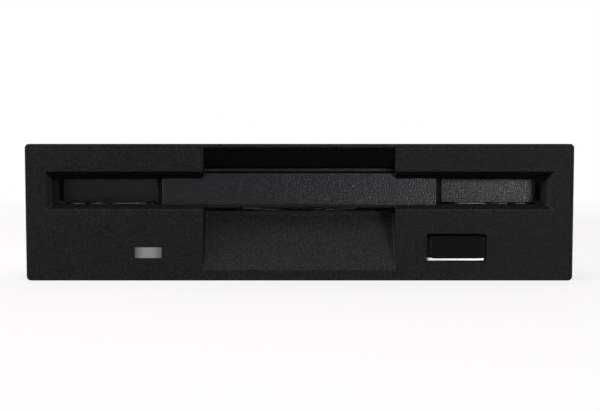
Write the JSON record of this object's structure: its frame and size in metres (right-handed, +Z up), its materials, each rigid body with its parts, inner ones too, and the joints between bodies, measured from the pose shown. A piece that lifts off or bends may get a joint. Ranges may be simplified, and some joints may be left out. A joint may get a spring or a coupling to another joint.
{
  "type": "floppy disk drive",
  "caption": "Slim internal drive for small cartridge disks: slotted front with a sprung flap and eject button, cast chassis, loading cradle, spindle and head carriage.",
  "frame": {"origin": "middle of the underside, halfway between the button's face and the rear edge", "axes": "+Z up, +X to the right and +Y to the rear when the front is faced"},
  "size_m": [0.1016, 0.1472, 0.0254],
  "materials": {
    "bezel_plastic": "black moulded plastic with a fine leather grain",
    "flap_plastic": "black moulded plastic with a fine leather grain",
    "button_plastic": "smooth polished black plastic",
    "lens_plastic": "translucent smoke-grey plastic",
    "lamp_resin": "clear cast resin",
    "zinc_steel": "bright zinc-plated pressed steel",
    "cover_steel": "galvanised sheet steel",
    "cast_alloy": "die-cast aluminium, as cast",
    "spring_steel": "drawn spring wire",
    "ground_steel": "ground and polished steel",
    "screw_steel": "plated screws",
    "brass_metal": "turned brass",
    "board_laminate": "green solder-masked laminate",
    "chip_resin": "black moulded resin",
    "core_steel": "stacked core sheets",
    "copper_wire": "enamelled copper windings",
    "magnet_ferrite": "dark bonded ferrite",
    "gold_contact": "gold-plated contacts",
    "white_nylon": "natural white nylon",
    "bone_acetal": "moulded bone-coloured acetal",
    "head_ceramic": "ground ceramic slider",
    "film_cable": "amber polyimide film"
  },
  "bodies": {
    "root": {"front_bezel": "bezel_plastic", "lamp_lens": "lens_plastic", "lamp": "lamp_resin", "flap_spring": "spring_steel", "trigger_post": "ground_steel", "chassis": "cast_alloy", "top_cover": "cover_steel", "cover_screws": "screw_steel", "motor_board": "board_laminate", "stator_core": "core_steel", "stator_coils": "copper_wire", "spindle_bearing": "brass_metal", "main_board": "board_laminate", "board_chips": "chip_resin", "board_screws": "screw_steel", "signal_header": "chip_resin", "signal_pins": "gold_contact", "power_header": "white_nylon", "power_pins": "gold_contact", "guide_rod": "ground_steel", "rod_clamps": "zinc_steel", "rod_screws": "screw_steel", "screw_bearing": "brass_metal", "stepper_case": "cover_steel", "stepper_bracket": "zinc_steel", "head_cable": "film_cable", "cable_socket": "white_nylon", "track_sensor": "chip_resin", "switch_bodies": "chip_resin", "eject_springs": "spring_steel"},
    "flap": {"dust_flap": "flap_plastic"},
    "slide": {"eject_slide": "zinc_steel", "eject_button": "button_plastic"},
    "cradle": {"disk_cradle": "zinc_steel"},
    "trigger": {"trigger_lever": "white_nylon"},
    "spindle": {"spindle_shaft": "ground_steel", "hub_plate": "zinc_steel", "rotor": "cover_steel", "rotor_magnet": "magnet_ferrite"},
    "drive_pin": {"drive_pin": "ground_steel"},
    "carriage": {"head_carriage": "bone_acetal", "lower_head": "head_ceramic", "follower": "ground_steel", "arm_spring": "spring_steel"},
    "head_arm": {"head_arm": "cover_steel", "upper_head": "head_ceramic"},
    "lead_screw": {"lead_screw": "ground_steel"},
    "disk_switch_plunger": {"disk_switch_plunger": "bone_acetal"},
    "protect_switch_plunger": {"protect_switch_plunger": "bone_acetal"},
    "density_switch_plunger": {"density_switch_plunger": "bone_acetal"}
  },
  "joints": [
    {"name": "flap_hinge", "type": "hinge", "parent": "root", "child": "flap", "pos_m": [0, -0.069, 0.0206], "axis": [1, 0, 0], "range_deg": [0, 90], "stiffness_Nm_per_rad": 0.002, "deforming": ["flap_spring"]},
    {"name": "eject_travel", "type": "slide", "parent": "root", "child": "slide", "axis": [0, 1, 0], "range_m": [-0.006, 0], "deforming": ["eject_springs"]},
    {"name": "cradle_drop", "type": "slide", "parent": "root", "child": "cradle", "axis": [0, 0, 1], "range_m": [-0.003, 0]},
    {"name": "trigger_swing", "type": "hinge", "parent": "root", "child": "trigger", "pos_m": [-0.021, 0.0486, 0.0118], "axis": [0, 0, -1], "range_deg": [0, 60]},
    {"name": "spindle_spin", "type": "hinge", "parent": "root", "child": "spindle", "pos_m": [0, -0.0159, 0.006], "axis": [0, 0, 1], "continuous": true},
    {"name": "drive_pin_press", "type": "slide", "parent": "spindle", "child": "drive_pin", "axis": [0, 0, -1], "range_m": [0, 0.0006], "stiffness_N_per_m": 100},
    {"name": "carriage_travel", "type": "slide", "parent": "root", "child": "carriage", "axis": [0, -1, 0], "range_m": [0, 0.0148], "deforming": ["head_cable"]},
    {"name": "arm_drop", "type": "hinge", "parent": "carriage", "child": "head_arm", "pos_m": [0, 0.0466, 0.015], "axis": [1, 0, 0], "range_deg": [0, 12.5], "deforming": ["arm_spring"]},
    {"name": "screw_turn", "type": "hinge", "parent": "root", "child": "lead_screw", "pos_m": [0.013, 0.0376, 0.0094], "axis": [0, 1, 0], "range_deg": [0, 1421]},
    {"name": "disk_switch_press", "type": "slide", "parent": "root", "child": "disk_switch_plunger", "axis": [0, 0, -1], "range_m": [0, 0.0012], "stiffness_N_per_m": 80},
    {"name": "protect_switch_press", "type": "slide", "parent": "root", "child": "protect_switch_plunger", "axis": [0, 0, -1], "range_m": [0, 0.0012], "stiffness_N_per_m": 80},
    {"name": "density_switch_press", "type": "slide", "parent": "root", "child": "density_switch_plunger", "axis": [0, 0, -1], "range_m": [0, 0.0012], "stiffness_N_per_m": 80}
  ],
  "couplings": [
    {"joint": "cradle_drop", "follows": "eject_travel", "ratio": 0.5},
    {"joint": "trigger_swing", "follows": "eject_travel", "rad_per_m": -174.53},
    {"joint": "arm_drop", "follows": "eject_travel", "rad_per_m": -36.361},
    {"joint": "screw_turn", "follows": "carriage_travel", "rad_per_m": 1675.5}
  ]
}
